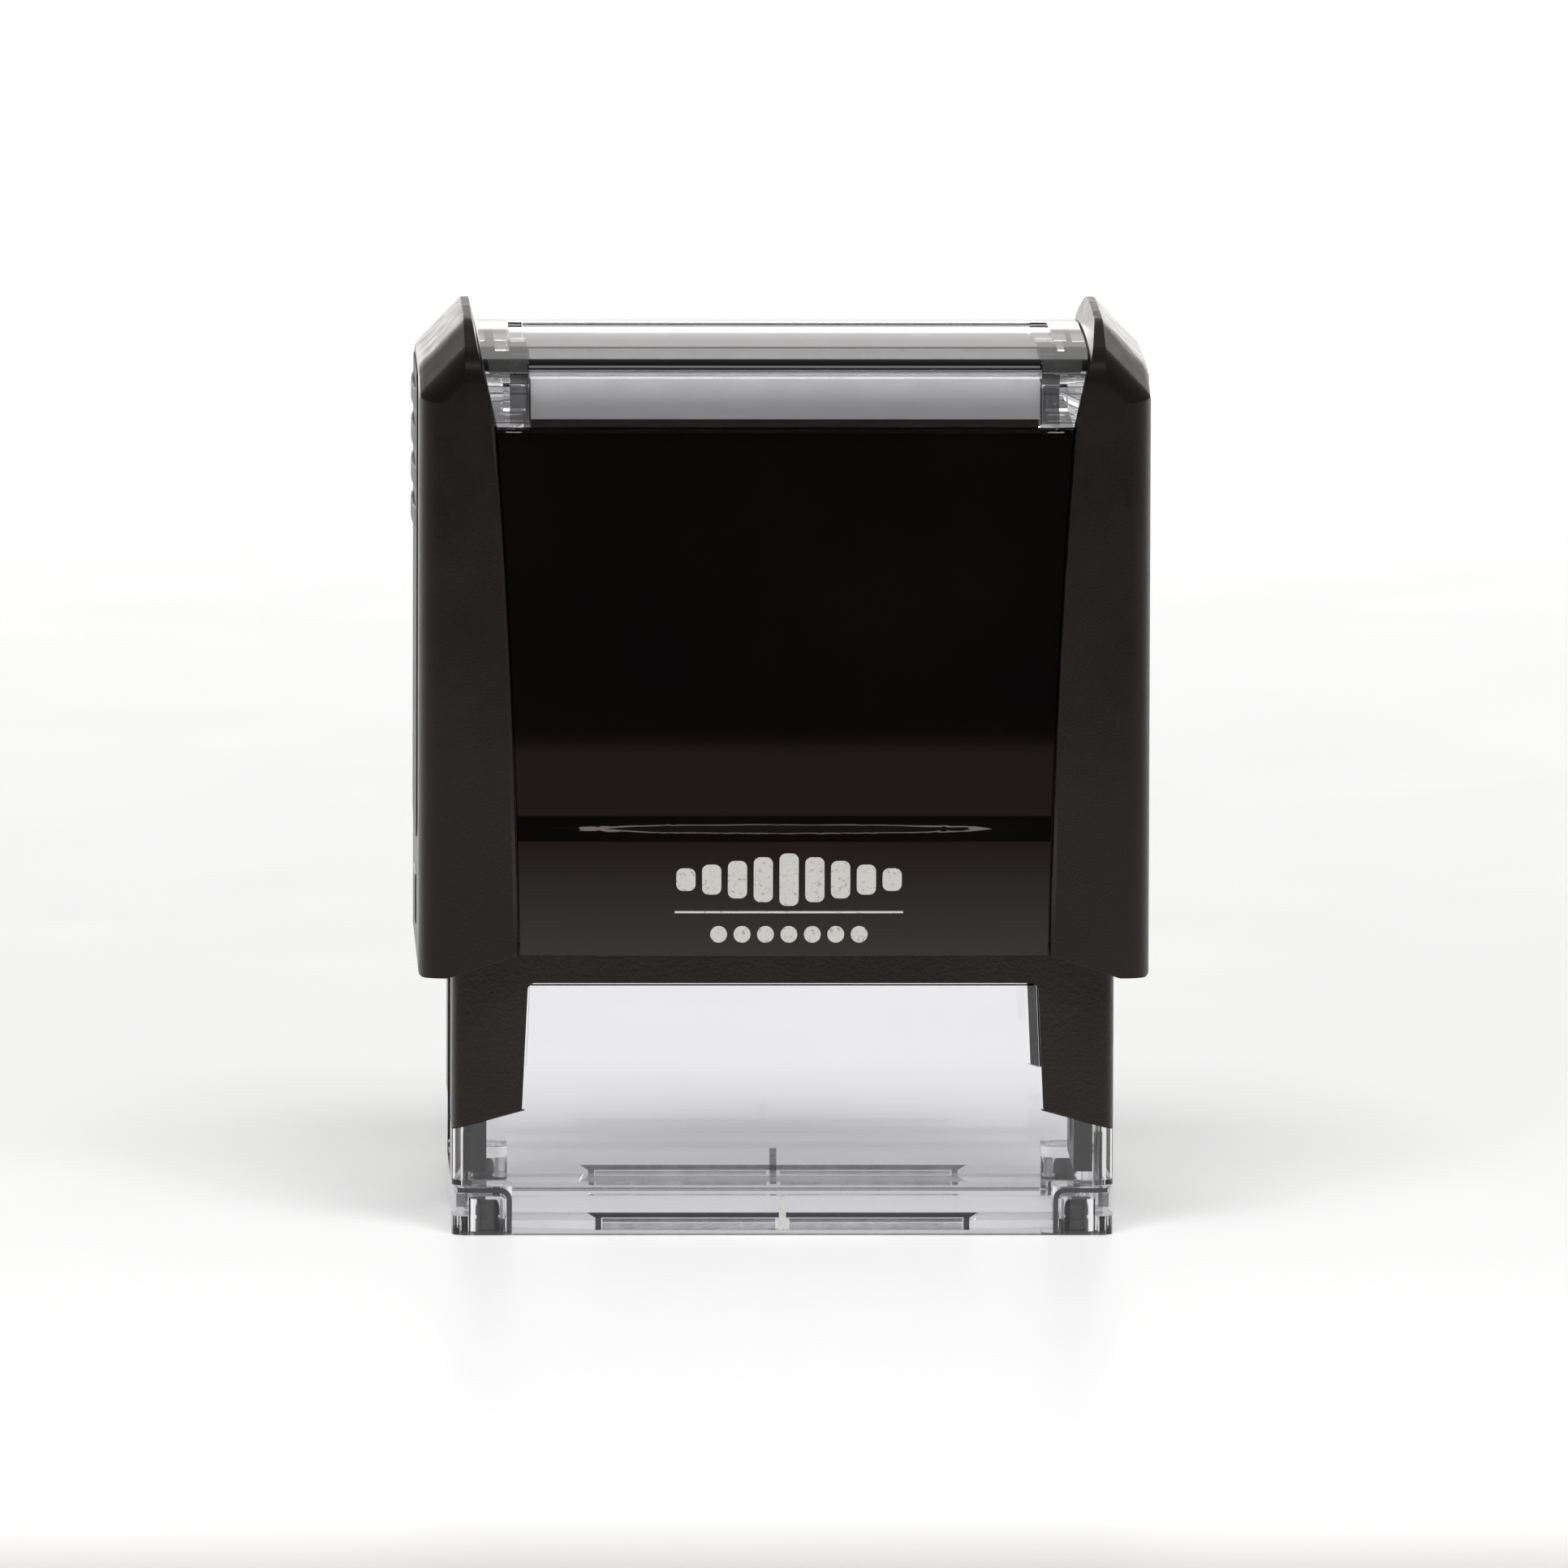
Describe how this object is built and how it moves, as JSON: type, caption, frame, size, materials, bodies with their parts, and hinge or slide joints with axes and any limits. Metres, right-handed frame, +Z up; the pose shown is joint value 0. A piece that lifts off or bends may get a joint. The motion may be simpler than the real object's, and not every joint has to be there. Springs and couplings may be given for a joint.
{
  "type": "self-inking stamp",
  "caption": "Self-inking office stamp: a pressed cap flips an inked die down through a clear foot, with a spring return.",
  "frame": {"origin": "bottom centre of the clear foot, on the table", "axes": "+Z up along the press stroke, front panel faces -Y, +X to the right seen from the front"},
  "size_m": [0.0632, 0.04, 0.0782],
  "materials": {
    "shell_black": "fine matte texture",
    "frame_black": "coarse spark texture",
    "gloss_black": "high gloss",
    "grip_black": "satin",
    "button_black": "semi-gloss",
    "mechanism_black": "satin",
    "clear_plastic": "polished clear",
    "plug_rubber": "satin",
    "white_print": "printed",
    "ink_felt": "ink-soaked felt",
    "spring_steel": "drawn wire",
    "card": "smooth card",
    "plate_plastic": "satin",
    "foam": "closed-cell foam",
    "die_rubber": "engraved rubber"
  },
  "bodies": {
    "base": {"base_frame": "frame_black", "clear_foot": "clear_plastic", "anti_slip_feet": "plug_rubber", "position_marks": "white_print", "cartridge_tray": "mechanism_black", "ink_pad": "ink_felt", "return_spring": "spring_steel"},
    "cap": {"cap_shell": "shell_black", "front_panel": "gloss_black", "rear_panel": "gloss_black", "bow": "mechanism_black", "index_card": "card", "card_tray": "mechanism_black", "side_grip_left": "grip_black", "side_grip_right": "grip_black"},
    "window": {"window_cover": "clear_plastic"},
    "button_left": {"lock_button_left": "button_black"},
    "button_right": {"lock_button_right": "button_black"},
    "die": {"die_carrier": "mechanism_black", "text_plate": "plate_plastic", "foam_layer": "foam", "rubber_die": "die_rubber"}
  },
  "joints": [
    {"name": "cap_press", "type": "slide", "parent": "base", "child": "cap", "axis": [0, 0, -1], "range_m": [0, 0.0203], "stiffness_N_per_m": 300, "springref_m": -0.015, "deforming": ["return_spring"]},
    {"name": "die_flip", "type": "hinge", "parent": "cap", "child": "die", "pos_m": [0, 0, 0.028], "axis": [1, 0, 0], "range_deg": [0, 180]},
    {"name": "lock_button_left_press", "type": "slide", "parent": "cap", "child": "button_left", "axis": [1, 0, 0], "range_m": [0, 0.0009], "stiffness_N_per_m": 600, "springref_m": -0.0005},
    {"name": "lock_button_right_press", "type": "slide", "parent": "cap", "child": "button_right", "axis": [-1, 0, 0], "range_m": [0, 0.0009], "stiffness_N_per_m": 600, "springref_m": -0.0005},
    {"name": "window_cover_lift", "type": "slide", "parent": "cap", "child": "window", "axis": [0, 0, 1], "range_m": [0, 0.012]}
  ],
  "couplings": [
    {"joint": "die_flip", "follows": "cap_press", "rad_per_m": 154.75}
  ]
}
